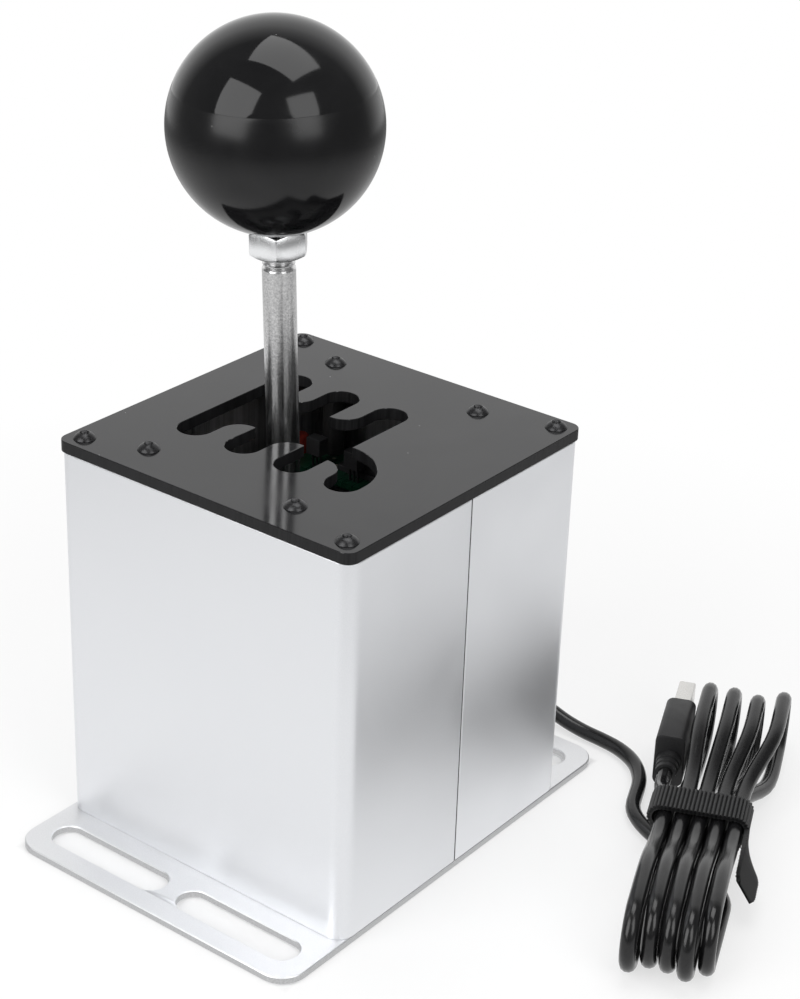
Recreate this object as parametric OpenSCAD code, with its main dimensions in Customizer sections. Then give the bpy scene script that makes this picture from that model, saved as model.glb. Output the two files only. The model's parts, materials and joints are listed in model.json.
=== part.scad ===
// Desk-top H-pattern gear shifter with a square aluminium housing on a slotted base plate,
// a glossy gate plate, a two-axis gimbal, a ball-knob lever and a USB lead tied in a hank.
// Millimetres. +X is the driver's right, +Y is forward, away from the driver, and +Z is up.
// The origin is the middle of the base plate's underside.

/* [Base plate] */
// How far the base plate reaches out past the housing at each end
flange_l = 20; // [16:0.5:40]
// Base plate thickness
base_t = 2; // [2:0.5:5]
// Base plate corner radius
base_corner = 7; // [3:0.5:9]
// Mounting slot length, end to end
slot_len = 37; // [20:1:38]
// Mounting slot width
slot_w = 8.5; // [5:0.5:9]
// Metal left between the two slots of one end
slot_gap = 5.3; // [4:0.1:7]
// From the plate's end to the slot's centre line
slot_inset = 10; // [8:0.1:11]

/* [Housing] */
// Housing width and depth
box_w = 90; // [88:1:100]
// Housing height
box_h = 101; // [95:1:125]
// Housing wall thickness
box_wall = 2.5; // [2:0.25:3.5]
// Housing outer corner radius
box_corner = 4.5; // [4:0.5:6]
// From the housing's outer face to a corner screw's centre
port_inset = 4.8; // [4.5:0.1:6]
// Outer diameter of a corner screw port
port_d = 9; // [7:0.5:9]
// Width of the open joint between the two housing halves
seam_gap = 0.12; // [0.05:0.01:0.3]
// Chamfer along the edges of that joint
seam_chamfer = 0.45; // [0.2:0.05:0.7]
// Thickness of the tongue that locks the two halves
tongue_w = 0.9; // [0.6:0.1:1.1]
// Length of that tongue
tongue_l = 1.8; // [1:0.1:3]

/* [Gate plate] */
// Gate plate thickness
gate_t = 3; // [2:0.5:4]
// Gate plate corner radius
gate_corner = 3; // [1:0.5:6]
// Sideways shift of the whole gate from the housing's middle
gate_shift = -1.75; // [-3:0.25:0]
// Distance between neighbouring lanes
lane_pitch = 15.3; // [14.5:0.1:16]
// Room on each side of the rod in its lane
lane_clear = 0.6; // [0.4:0.05:1]
// From the gate's middle to the end of a lane
lane_reach = 22.7; // [20:0.1:24]
// Neutral channel, from the middle to its forward edge
neutral_front = 8; // [6:0.1:9]
// Neutral channel, from the middle to its rear edge
neutral_rear = 8.6; // [7:0.1:10]
// Radius of the guiding ramps at the lane mouths
ramp_r = 5.5; // [2:0.25:5.5]
// Radius of the reverse hook's centre line
hook_r = 10.3; // [8:0.1:10.6]
// From the gate's middle back to the reverse hook's centre
hook_back = 16.8; // [15:0.1:18]

/* [Screws] */
// Screw shank diameter
screw_d = 3; // [2:0.25:3]
// Button head diameter
head_d = 5.7; // [5:0.1:6.5]
// Button head height
head_h = 1.7; // [1.4:0.05:2]
// Countersunk head diameter
csk_d = 5.6; // [5:0.1:6]
// Hexagon socket, across flats
socket_af = 2; // [1.5:0.1:2.2]
// Length of a top screw's shank
top_screw_len = 10; // [8:0.5:13]
// Thread of a base screw in the housing's port
base_screw_grip = 8; // [5:0.5:20]
// Thread of a board screw in its standoff
board_screw_grip = 6; // [4:0.5:8]
// Spacing of the inner top screws, across
frame_w = 45.3; // [43:0.1:47]
// From the plate's front and rear edges in to the inner top screws
frame_inset = 10.4; // [9.5:0.1:11.5]

/* [Lever] */
// Lever rod diameter
rod_d = 8; // [7:0.25:8.5]
// Height of the two pivot axes above the floor
pivot_z = 18; // [17:0.5:20]
// Gap between the resting rod and the rear edge of neutral
rest_gap = 0.6; // [0.5:0.1:3]
// From the gate plate along the rod to the jam nut
nut_up = 45.2; // [30:0.1:60]
// Ball knob diameter
knob_d = 50; // [40:1:56]
// Diameter of the flat under the ball knob
knob_flat_d = 12.6; // [12.4:0.1:16]
// Diameter of the knob's threaded insert
insert_d = 12; // [10:0.5:12]
// Length of that insert
insert_l = 16; // [12:0.5:20]
// Jam nut, across flats
nut_af = 13; // [12:0.5:15]
// Jam nut height
nut_h = 6.5; // [5:0.5:8]
// Diameter of the short run-out between thread and rod
relief_d = 7; // [6:0.1:7]
// Length of that run-out below the nut
relief_h = 3.3; // [1:0.1:5]

/* [Gimbal] */
// Pivot pin diameter
pin_d = 6; // [5:0.25:6.5]
// Hub width along the shift pin
hub_w = 14; // [12:0.5:15]
// Hub diameter
hub_d = 15; // [14:0.5:16]
// Hub height above the pivot axes
hub_up = 18; // [15:0.5:22]
// Hub depth below the pivot axes
hub_down = 5; // [4:0.5:5.5]
// Room for the hub to swing inside the gimbal ring
hub_swing = 2.5; // [2:0.25:4]
// Gimbal ring height
ring_h = 10; // [9:0.5:11]
// Gimbal ring wall
ring_wall = 5; // [4:0.5:6]
// Thickness of each thrust washer
washer_t = 0.5; // [0.4:0.1:0.8]
// Outside diameter of each thrust washer
washer_d = 9; // [8:0.5:10]
// Head height of a shoulder screw
shoulder_head_h = 3; // [2:0.5:4]
// Pivot bracket foot thickness
foot_t = 4; // [3:0.5:4.5]
// How far the bracket's foot reaches out past the ring at each side
foot_reach = 16; // [14:0.5:18]
// Pivot bracket ear thickness
ear_t = 5; // [4:0.5:7]
// Pivot bracket ear width
ear_w = 16; // [14:0.5:18]
// Centring spring diameter, outside
spring_d = 6; // [5:0.25:6]
// Centring spring wire
spring_wire = 0.8; // [0.6:0.1:1]
// Grub screw diameter
grub_d = 4; // [3:0.5:4]

/* [Sensor board] */
// From the gate plate's top down to the board's top
board_drop = 25; // [23:0.5:30]
// Board thickness
board_t = 1.6; // [1:0.2:2]
// Width of the board's narrow side strips
board_strip = 5; // [4.5:0.1:6]
// From the inner screws out to the board's ends
board_edge = 4.5; // [4:0.1:4.8]
// Room between the swinging magnet and the board's window
window_clear = 1.5; // [1:0.1:2.5]
// Height of the sensors' legs
sensor_lift = 4; // [2:0.5:5]
// Outside diameter of the magnet and its collar
magnet_d = 11.4; // [10:0.2:12]
// Magnet height
magnet_h = 3; // [2:0.5:4]
// Collar height below the magnet
collar_h = 5; // [3:0.5:6]

/* [Cable] */
// Cable diameter
cable_d = 4; // [3.5:0.1:4]
// Height of the cable outlet above the floor
outlet_z = 10; // [9:0.5:12]
// Sideways place of the cable outlet
outlet_x = 8; // [4:0.5:12]
// Length of the strain relief outside the housing
boot_len = 7; // [5:0.5:8]
// Folded loops in the hank
hank_loops = 4; // [3:1:4]
// Straight length of the hank's runs
hank_run = 92; // [88:1:96]
// Radius of the hank's folds
hank_fold = 8; // [7.5:0.25:9]
// Thickness of the strap round the hank
tie_t = 1.2; // [0.8:0.1:1.2]
// Width of that strap
tie_w = 10; // [8:1:14]

/* [Hidden] */
$fn = 64;

// Fits: a running or threaded fit on the radius, and the overlap of joined shapes
fit = 0.05;
eps = 0.02;

// Levels and places
base_w = box_w;
base_l = box_w + 2 * flange_l;
box_z = base_t;
gate_z = base_t + box_h;
gate_top = gate_z + gate_t;
half = box_w / 2;
wall_in = half - box_wall;
port_at = half - port_inset;
rod_r = rod_d / 2;
pin_r = pin_d / 2;
cable_r = cable_d / 2;
lane_w = rod_d + 2 * lane_clear;
lane_end = lane_reach - lane_w / 2;
lane_x = [for (i = [0 : 3]) gate_shift + (i - 1.5) * lane_pitch];
pivot_x = lane_x[1];
corners = [[-1, -1], [1, -1], [1, 1], [-1, 1]];
bore_d = screw_d + 2 * fit;

// Lever lean at rest and stations along the rod, measured from the pivot
lever_h = gate_top - pivot_z;
rest_lean = atan((neutral_rear - rest_gap - rod_r) / lever_h);
nut_at = lever_h / cos(rest_lean) + nut_up;
flat_at = nut_at + nut_h;
knob_at = flat_at + sqrt(pow(knob_d / 2, 2) - pow(knob_flat_d / 2, 2));
insert_top = flat_at + insert_l;
rod_top = insert_top - 2;
rod_foot = pin_r + 1.5;
grub_at = (rod_foot + hub_up) / 2 + 1;

// Gimbal sizes
ring_in_w = hub_w + 2 * (washer_t + 2 * fit);
ring_in_l = hub_d + 2 * hub_swing;
ring_out_w = ring_in_w + 2 * ring_wall;
ring_out_l = ring_in_l + 2 * ring_wall;
ear_y = ring_out_l / 2 + washer_t + 2 * fit;
foot_top = base_t + foot_t;
foot_w = ring_out_w + 2 * foot_reach;
foot_l = 2 * (ear_y + ear_t);
foot_hole = [foot_w / 2 - 6, foot_l / 2 - 7];
spring_x = hub_w / 2 + spring_d / 2 + 0.7;
spring_top = pivot_z - ring_h / 2;
spring_turns = 4;

// Sensor board sizes
board_top = gate_top - board_drop;
frame_shift = gate_shift - 0.25;
frame_l = box_w - 2 * frame_inset;
frame_at = [for (c = corners) [frame_shift + c[0] * frame_w / 2, c[1] * frame_l / 2]];
standoff_af = 5.5;
standoff_len = gate_z - board_top;
sensor_size = [4.4, 3.4, 4.6];
magnet_at = board_top + sensor_lift + 1 - pivot_z;
swing = (magnet_at + magnet_h) / lever_h;
window_x0 = pivot_x + (lane_x[0] - pivot_x) * swing - magnet_d / 2 - window_clear;
window_x1 = pivot_x + (lane_x[3] - pivot_x) * swing + magnet_d / 2 + window_clear;
window_y = lane_end * swing + magnet_d / 2 + window_clear;
board_x0 = window_x0 - board_strip;
board_x1 = window_x1 + board_strip;
board_y = frame_l / 2 + board_edge;
sensor_y = window_y + sensor_size[1] / 2 + 0.6;
module_size = [30, 8.5, 4.5];
module_y = sensor_y + sensor_size[1] / 2 + 0.8 + module_size[1] / 2;
red_d = 4;
orange_d = 3.6;
cap_gap = 0.6;
cap_pitch = red_d / 2 + orange_d / 2 + cap_gap + 0.1;
cap_x = board_x0 + board_strip / 2;
cap_y = frame_l / 2 - standoff_af / 2 - cap_gap - red_d / 2;

// Cable outlet and its way up to the board's header
boot_neck_r = cable_r + 1.8;
boot_end = half + boot_len;
header_size = [8, 5.5, 6];
header_y = frame_l / 2 - 1;
header_z = board_top - board_t - header_size[2];
inner_r = cable_r - 0.3;
inner_route = [
    [outlet_x, wall_in - 2, outlet_z], [outlet_x, wall_in - 5, outlet_z],
    [outlet_x, header_y + 1, outlet_z + 5], [outlet_x, header_y, outlet_z + 12],
    [outlet_x, header_y, outlet_z + 24], [outlet_x, header_y, header_z - 12], [outlet_x, header_y, header_z]
];

// Hank frame: s runs along the hank, y to its left, z up
hank_mid = [88.4, 45];
hank_turn = 113.6;
strand = cable_d + 0.5;
near_mid = hank_loops / 2;
far_mid = near_mid + 0.2;
far_pitch = strand + 2.1;
waist_layer = strand - 0.4;
waist_lift = cable_d + tie_t + 1;
waist_len = 26;
meet_s = 19;
lead_y = 19;
cross_from = 15;
cross_to = -25;
first_bow = 0.8;
loop_stagger = 2;
tail_y = 12.2;
tail_from = 0;
tail_to = 17;
drop_from = 3;
plug_s = 22;
plug_boot_len = 6;
plug_body_size = [20, 8, 15.5];
plug_shell_size = [12, 4.5, 12];
plug_z = plug_body_size[2] / 2 + 0.3;

function hank_point(p) = [
    hank_mid[0] + p[0] * cos(hank_turn) - p[1] * sin(hank_turn),
    hank_mid[1] + p[0] * sin(hank_turn) + p[1] * cos(hank_turn),
    p[2]
];

// Route of the free stretch, from the strain relief round to the hank
lead_route = [
    [outlet_x, boot_end, outlet_z], [8, 56, 10], [9.2, 62, 9.6], [12.5, 67, 8.4], [17.5, 70.2, 6.6],
    [23.4, 71.4, 4.8], [29.5, 71.4, 3.1], [35.5, 71.4, 2.2], [41.5, 71.3, 2], [47, 70.6, 2],
    [52, 68.8, 2], [56.2, 66, 2], [59.6, 62.2, 2],
    hank_point([meet_s + cable_d, lead_y, cable_r]), hank_point([meet_s, lead_y, cable_r])
];

// Hank formulas: strands lie in columns, drawn in and lifted at the waist
function mix(a, b, k) = a + (b - a) * k;
function ease(k) = (1 - cos(180 * min(1, max(0, k)))) / 2;
function pinch(s) = exp(-pow(s / waist_len, 4));
function near_y(c) = (c - near_mid) * strand;
function far_y(c) = (c - far_mid) * far_pitch;
function column_y(c, s) = s < 0 ? near_y(c) : mix(far_y(c), near_y(c), pinch(s));
function low_z(s) = cable_r + waist_lift * pinch(s);
function high_z(s) = mix(cable_r + 2 * hank_fold, low_z(0) + waist_layer, pinch(s));
function run_s(i, n) = hank_run / 2 - hank_run * i / n;
function reach(k, side) = hank_run / 2 + loop_stagger * (1 + sin(140 * k + 90 * side));
tail_z = low_z(0) + waist_layer;

// The first run crosses on the floor, under the waist, from the lead to its column
function first_run(n) = [
    for (i = [1 : n - 1])
        let (s = run_s(i, n))
            if (s < cross_from - 1)
                [s, mix(lead_y, near_y(0) - first_bow * sin(180 * (s / hank_run + 0.5)),
                    ease((cross_from - s) / (cross_from - cross_to))), cable_r]
];
// A low run goes from far to near and moves over by one column
function low_run(k, n) = [
    for (i = [1 : n - 1])
        let (s = run_s(i, n), c = k - 0.5 - sin(180 * s / hank_run) / 2)
            [s, column_y(c, s), low_z(s)]
];
// A high run goes from near to far in its own column
function high_run(k, n) = [
    for (i = [n - 1 : -1 : 1])
        let (s = run_s(i, n))
            [s, column_y(k, s), high_z(s)]
];
// A fold rises at the near end and comes down at the far end, and no two end level
function fold(k, side, n) = [
    for (i = [0 : n])
        let (a = 180 * i / n, s = side * (reach(k, side) + hank_fold * sin(a)))
            [s, column_y(k, s), cable_r + hank_fold * (1 + side * cos(a))]
];
// The last run leaves the waist for the plug
function tail_at(s) =
    mix(near_y(hank_loops), tail_y, ease((s - tail_from) / (tail_to - tail_from)));
function tail_height(s) =
    s < 0 ? high_z(s) : mix(tail_z, plug_z, ease((s - drop_from) / (plug_s - cable_d - drop_from)));
function last_run(n) = [
    for (i = [n - 1 : -1 : 1])
        let (s = run_s(i, n))
            if (s < plug_s - cable_d - 1)
                [s, tail_at(s), tail_height(s)]
];
function hank_path(n, m) = concat(
    [[meet_s, lead_y, cable_r], [cross_from, lead_y, cable_r]],
    [for (k = [0 : hank_loops])
        each concat(k == 0 ? first_run(2 * n) : low_run(k, n), fold(k, -1, m),
            k < hank_loops ? concat(high_run(k, n), fold(k, 1, m)) : last_run(2 * n))],
    [[plug_s - cable_d, tail_y, plug_z], [plug_s, tail_y, plug_z]]
);

// Tubes swept along points
function unit(v) = v / norm(v);
function heading(p, i) = unit(p[min(i + 1, len(p) - 1)] - p[max(i - 1, 0)]);
function ring_points(p, i, r, n, ref) =
    let (t = heading(p, i), u = unit(cross(t, ref)), v = cross(t, u))
    [for (k = [0 : n - 1]) p[i] + r * (cos(360 * k / n) * u + sin(360 * k / n) * v)];

module tube(p, r, n, ref) {
    last = (len(p) - 1) * n;
    points = [for (i = [0 : len(p) - 1]) each ring_points(p, i, r, n, ref)];
    sides = [for (i = [0 : len(p) - 2], k = [0 : n - 1])
        let (a = i * n + k, b = i * n + (k + 1) % n)
            each [[a, a + n, b + n], [a, b + n, b]]];
    caps = [for (k = [1 : n - 2]) each [[0, k, k + 1], [last, last + k + 1, last + k]]];
    polyhedron(points, concat(sides, caps), convexity = 10);
}

// Flat shapes
module rounded(w, l, r) {
    square([w - 2 * r, l], center = true);
    square([w, l - 2 * r], center = true);
    for (c = corners)
        translate([c[0] * (w / 2 - r), c[1] * (l / 2 - r)])
            circle(r);
}

module slot(a, b, w) {
    length = norm(b - a);
    translate(a)
        circle(d = w);
    translate(b)
        circle(d = w);
    translate((a + b) / 2)
        rotate(atan2(b[1] - a[1], b[0] - a[0]))
            square([length, w], center = true);
}

module at_corners(x, y) {
    for (c = corners)
        translate([c[0] * x, c[1] * y])
            children();
}

// Ramp cut at a lane mouth: the corner of the finger of plate beside it is rounded
module ramp(x, y, sx, sy) {
    translate([x, y])
        difference() {
            translate([min(0, sx * ramp_r), min(0, sy * ramp_r)])
                square(ramp_r);
            translate([sx * ramp_r, sy * ramp_r])
                circle(ramp_r);
        }
}

// Outline of the shift gate
module gate_opening() {
    hook_x = lane_x[3] - hook_r;
    neutral_x0 = lane_x[0] - lane_w / 2;
    neutral_x1 = lane_x[2] + lane_w / 2;
    for (i = [0 : 2])
        slot([lane_x[i], -lane_end], [lane_x[i], lane_end], lane_w);
    translate([neutral_x0, -neutral_rear])
        square([neutral_x1 - neutral_x0, neutral_front + neutral_rear]);
    for (i = [1 : 2])
        ramp(lane_x[i] - lane_w / 2, neutral_front, -1, 1);
    for (i = [0 : 1])
        ramp(lane_x[i] + lane_w / 2, -neutral_rear, 1, -1);
    slot([lane_x[3], -hook_back], [lane_x[3], -lane_end], lane_w);
    translate([lane_x[2], hook_r - hook_back - lane_w / 2])
        square([hook_x - lane_x[2] + eps, lane_w]);
    translate([hook_x, -hook_back])
        intersection() {
            difference() {
                circle(hook_r + lane_w / 2);
                circle(hook_r - lane_w / 2);
            }
            square(hook_r + lane_w);
        }
}

// Button-head socket screw, head upwards, seat at z = 0
module button_screw(length) {
    dome_r = (pow(head_d / 2, 2) + pow(head_h, 2)) / (2 * head_h);
    difference() {
        union() {
            translate([0, 0, -length])
                cylinder(d = screw_d, h = length + eps);
            rotate_extrude()
                intersection() {
                    translate([0, head_h - dome_r])
                        circle(dome_r);
                    square([head_d, head_h * 2]);
                }
        }
        translate([0, 0, head_h * 0.35])
            cylinder(d = socket_af / cos(30), h = head_h, $fn = 6);
    }
}

// Countersunk screw, head downwards and flush at z = 0
csk_h = (csk_d - screw_d) / 2;
module countersunk_screw(length) {
    difference() {
        union() {
            cylinder(d = screw_d, h = length);
            cylinder(d1 = csk_d, d2 = screw_d, h = csk_h);
        }
        translate([0, 0, -eps])
            cylinder(d = socket_af / cos(30), h = 1, $fn = 6);
    }
}

module countersunk_hole() {
    translate([0, 0, -eps])
        cylinder(d = bore_d, h = base_t + 2 * eps);
    translate([0, 0, -eps])
        cylinder(d1 = csk_d + 2 * (fit + eps), d2 = bore_d, h = csk_h + fit + eps);
}

// Base plate with its four mounting slots
module base_plate() {
    slot_x = (slot_gap + slot_len) / 2;
    reach = (slot_len - slot_w) / 2;
    color("silver")
        difference() {
            linear_extrude(base_t)
                difference() {
                    rounded(base_w, base_l, base_corner);
                    for (c = corners)
                        translate([c[0] * slot_x, c[1] * (base_l / 2 - slot_inset)])
                            slot([-reach, 0], [reach, 0], slot_w);
                }
            at_corners(port_at, port_at)
                countersunk_hole();
            translate([pivot_x, 0])
                at_corners(foot_hole[0], foot_hole[1])
                    countersunk_hole();
        }
}

module base_screws() {
    color("dimgray")
        at_corners(port_at, port_at)
            countersunk_screw(base_t + base_screw_grip);
}

// Section of the whole housing: wall, corner ports and their screw bores
module housing_section() {
    difference() {
        union() {
            difference() {
                rounded(box_w, box_w, box_corner);
                rounded(box_w - 2 * box_wall, box_w - 2 * box_wall, box_corner - box_wall + 0.5);
            }
            intersection() {
                rounded(box_w, box_w, box_corner);
                at_corners(port_at, port_at)
                    circle(d = port_d);
            }
        }
        at_corners(port_at, port_at)
            circle(d = bore_d);
    }
}

// One half of the section, on the side given by sy, with chamfered joint edges
module half_section(sy) {
    difference() {
        housing_section();
        translate([0, -sy * box_w])
            square([2 * box_w, 2 * box_w + seam_gap], center = true);
        for (sx = [-1, 1])
            translate([sx * half, 0])
                rotate(45)
                    square(seam_chamfer * sqrt(2), center = true);
    }
}

// The half that faces the driver, with the joint's tongues
module near_shell() {
    color("gainsboro")
        translate([0, 0, box_z])
            linear_extrude(box_h) {
                half_section(-1);
                for (sx = [-1, 1])
                    translate([sx * (half - box_wall / 2), tongue_l / 2 - seam_gap])
                        square([tongue_w, tongue_l], center = true);
            }
}

// The half away from the driver, with the joint's grooves and the cable's hole
module far_shell() {
    color("silver")
        difference() {
            translate([0, 0, box_z])
                linear_extrude(box_h)
                    difference() {
                        half_section(1);
                        for (sx = [-1, 1])
                            translate([sx * (half - box_wall / 2), tongue_l / 2])
                                square([tongue_w + 4 * fit, tongue_l + 4 * fit], center = true);
                    }
            translate([outlet_x, wall_in - 1, outlet_z])
                rotate([-90, 0, 0])
                    cylinder(r = boot_neck_r + fit, h = box_wall + 2);
        }
}

module gate_plate() {
    color([0.08, 0.08, 0.09])
        translate([0, 0, gate_z])
            linear_extrude(gate_t)
                difference() {
                    rounded(box_w, box_w, gate_corner);
                    gate_opening();
                    at_corners(port_at, port_at)
                        circle(d = bore_d);
                    for (p = frame_at)
                        translate(p)
                            circle(d = bore_d);
                }
}

module corner_screws() {
    color([0.1, 0.1, 0.1])
        translate([0, 0, gate_top])
            at_corners(port_at, port_at)
                button_screw(top_screw_len);
}

module frame_screws() {
    color([0.1, 0.1, 0.1])
        for (p = frame_at)
            translate([p[0], p[1], gate_top])
                button_screw(top_screw_len);
}

// Hexagonal spacers that hang the sensor board under the gate plate
module board_standoffs() {
    color([0.05, 0.05, 0.05])
        for (p = frame_at)
            translate([p[0], p[1], board_top])
                difference() {
                    cylinder(d = standoff_af / cos(30), h = standoff_len, $fn = 6);
                    translate([0, 0, -eps])
                        cylinder(d = bore_d, h = standoff_len + 2 * eps);
                }
}

module sensor_board() {
    color("darkgreen")
        translate([0, 0, board_top - board_t])
            linear_extrude(board_t)
                difference() {
                    translate([board_x0, -board_y])
                        square([board_x1 - board_x0, 2 * board_y]);
                    translate([window_x0, -window_y])
                        square([window_x1 - window_x0, 2 * window_y]);
                    for (p = frame_at)
                        translate(p)
                            circle(d = bore_d);
                }
}

module board_screws() {
    color("dimgray")
        for (p = frame_at)
            translate([p[0], p[1], board_top - board_t])
                mirror([0, 0, 1])
                    button_screw(board_t + board_screw_grip);
}

// One three-legged sensor for each gear, standing at the end of its lane
module hall_sensor() {
    translate([-sensor_size[0] / 2, -sensor_size[1] / 2, sensor_lift])
        cube(sensor_size);
    for (i = [-1 : 1])
        translate([i * 1.27 - 0.25, -0.25, 0])
            cube([0.5, 0.5, sensor_lift + eps]);
}

module hall_sensors() {
    color([0.13, 0.13, 0.14])
        for (i = [0 : 3], sy = i < 3 ? [-1, 1] : [-1])
            translate([pivot_x + (lane_x[i] - pivot_x) * swing, sy * sensor_y, board_top])
                hall_sensor();
}

module controller_module() {
    color([0.1, 0.1, 0.11])
        translate([frame_shift, module_y, board_top]) {
            translate([-module_size[0] / 2, -module_size[1] / 2, 0])
                cube([module_size[0], module_size[1], 1.6]);
            translate([-module_size[0] / 2 + 3, -module_size[1] / 2 + 1.2, 1.6 - eps])
                cube([module_size[0] - 12, module_size[1] - 2.4, module_size[2] - 1.6]);
        }
}

module capacitor(d, h) {
    cylinder(d = d, h = h - 0.4);
    translate([0, 0, h - 0.4 - eps])
        cylinder(d1 = d, d2 = d - 1, h = 0.4);
}

module red_capacitors() {
    color("firebrick")
        for (i = [0 : 1])
            translate([cap_x, cap_y - 2 * i * cap_pitch, board_top])
                capacitor(red_d, 5);
}

module orange_capacitors() {
    color("darkorange")
        for (i = [0 : 1])
            translate([cap_x, cap_y - (2 * i + 1) * cap_pitch, board_top])
                capacitor(orange_d, 4);
}

module lead_header() {
    color("whitesmoke")
        translate([outlet_x - header_size[0] / 2, header_y - header_size[1] / 2,
                header_z])
            cube(header_size);
}

// Bracket that carries the gimbal: a foot on the base plate and two ears
module pivot_bracket() {
    color("lightgray")
        translate([pivot_x, 0, 0])
            difference() {
                union() {
                    translate([-foot_w / 2, -foot_l / 2, base_t])
                        cube([foot_w, foot_l, foot_t]);
                    for (sy = [-1, 1])
                        translate([0, sy * (ear_y + ear_t / 2), 0])
                            rotate([90, 0, 0])
                                linear_extrude(ear_t, center = true) {
                                    translate([-ear_w / 2, foot_top - eps])
                                        square([ear_w, pivot_z - foot_top + eps]);
                                    translate([0, pivot_z])
                                        circle(d = ear_w);
                                }
                }
                translate([0, 0, pivot_z])
                    rotate([90, 0, 0])
                        cylinder(r = pin_r + fit, h = foot_l + 2, center = true);
                translate([0, 0, base_t - eps])
                    at_corners(foot_hole[0], foot_hole[1])
                        cylinder(d = bore_d, h = foot_t + 2 * eps);
            }
}

module bracket_screws() {
    color("dimgray")
        translate([pivot_x, 0])
            at_corners(foot_hole[0], foot_hole[1])
                countersunk_screw(base_t + foot_t - 0.5);
}

// Two shoulder screws, the axis on which the ring swings from lane to lane
module select_pins() {
    tip = ring_in_l / 2 + 0.4;
    seat = ear_y + ear_t;
    color("gray")
        for (sy = [-1, 1])
            translate([pivot_x, 0, pivot_z])
                rotate([-90 * sy, 0, 0]) {
                    translate([0, 0, tip])
                        cylinder(r = pin_r, h = seat - tip + eps);
                    translate([0, 0, seat])
                        cylinder(d = pin_d + 4, h = shoulder_head_h);
                }
}

module washer(inner, outer, t) {
    difference() {
        cylinder(d = outer, h = t, center = true);
        cylinder(d = inner, h = t + 1, center = true);
    }
}

module ring_washers() {
    color("darkkhaki")
        for (sy = [-1, 1])
            translate([pivot_x, sy * (ring_out_l / 2 + fit + washer_t / 2), pivot_z])
                rotate([90, 0, 0])
                    washer(pin_d + 2 * fit, washer_d, washer_t);
}

// Compression spring between the bracket's foot and the ring's underside
module centring_spring(sx) {
    wire_r = spring_wire / 2;
    coil_r = (spring_d - spring_wire) / 2;
    rings = 10 * spring_turns;
    rise = spring_top - foot_top - 2 * (wire_r + fit);
    path = [for (i = [0 : rings])
        let (a = 360 * spring_turns * i / rings)
            [coil_r * cos(a), coil_r * sin(a), wire_r + fit + rise * i / rings]];
    color("lightsteelblue")
        translate([pivot_x + sx * spring_x, 0, foot_top])
            tube(path, wire_r, 6, [0, 0, 1]);
}

module left_spring() {
    centring_spring(-1);
}

module right_spring() {
    centring_spring(1);
}

// Ring between the two axes: swings on the select pins and carries the shift pin
module gimbal_ring() {
    color("slategray")
        translate([pivot_x, 0, pivot_z])
            difference() {
                cube([ring_out_w, ring_out_l, ring_h], center = true);
                cube([ring_in_w, ring_in_l, ring_h + 1], center = true);
                rotate([90, 0, 0])
                    cylinder(r = pin_r + fit, h = ring_out_l + 1, center = true);
                rotate([0, 90, 0])
                    cylinder(r = pin_r + fit, h = ring_out_w + 1, center = true);
            }
}

module shift_pin() {
    color("gray")
        translate([pivot_x, 0, pivot_z])
            rotate([0, 90, 0])
                cylinder(r = pin_r, h = ring_out_w, center = true);
}

module hub_washers() {
    color("darkkhaki")
        for (sx = [-1, 1])
            translate([pivot_x + sx * (hub_w / 2 + fit + washer_t / 2), 0, pivot_z])
                rotate([0, 90, 0])
                    washer(pin_d + 2 * fit, washer_d, washer_t);
}

// Everything on the lever stands on the shift axis and leans back at rest
module on_lever() {
    translate([pivot_x, 0, pivot_z])
        rotate([rest_lean, 0, 0])
            children();
}

module lever_hub() {
    color("darkgray")
        on_lever()
            difference() {
                intersection() {
                    translate([0, 0, -hub_down])
                        cylinder(d = hub_d, h = hub_down + hub_up);
                    translate([-hub_w / 2, -hub_d, -hub_down])
                        cube([hub_w, 2 * hub_d, hub_down + hub_up]);
                }
                rotate([0, 90, 0])
                    cylinder(r = pin_r + fit, h = hub_w + 1, center = true);
                translate([0, 0, rod_foot])
                    cylinder(r = rod_r + fit, h = hub_up);
                translate([0, 0, grub_at])
                    rotate([90, 0, 0])
                        cylinder(d = grub_d + 2 * fit, h = hub_d);
            }
}

module hub_grub_screw() {
    color([0.15, 0.15, 0.15])
        on_lever()
            translate([0, -rod_r - fit, grub_at])
                rotate([90, 0, 0])
                    difference() {
                        cylinder(d = grub_d, h = hub_d / 2 - rod_r - fit - 0.4);
                        translate([0, 0, 1.2])
                            cylinder(d = socket_af / cos(30), h = hub_d, $fn = 6);
                    }
}

// Ground rod with a short thread run-out under the nut and a threaded top
module lever_rod() {
    thread_d = rod_d - 0.2;
    color("lightgray")
        on_lever() {
            translate([0, 0, rod_foot + fit])
                cylinder(r = rod_r, h = nut_at - relief_h - rod_foot - fit);
            translate([0, 0, nut_at - relief_h - eps])
                cylinder(d = relief_d, h = relief_h + 2 * eps);
            translate([0, 0, nut_at])
                cylinder(d = thread_d, h = rod_top - nut_at);
        }
}

module magnet_collar() {
    color([0.1, 0.1, 0.1])
        on_lever()
            translate([0, 0, magnet_at - collar_h])
                difference() {
                    cylinder(d = magnet_d, h = collar_h);
                    translate([0, 0, -eps])
                        cylinder(r = rod_r + fit, h = collar_h + 2 * eps);
                }
}

module ring_magnet() {
    color("dimgray")
        on_lever()
            translate([0, 0, magnet_at])
                difference() {
                    cylinder(d = magnet_d, h = magnet_h);
                    translate([0, 0, -eps])
                        cylinder(r = rod_r + fit, h = magnet_h + 2 * eps);
                }
}

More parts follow.
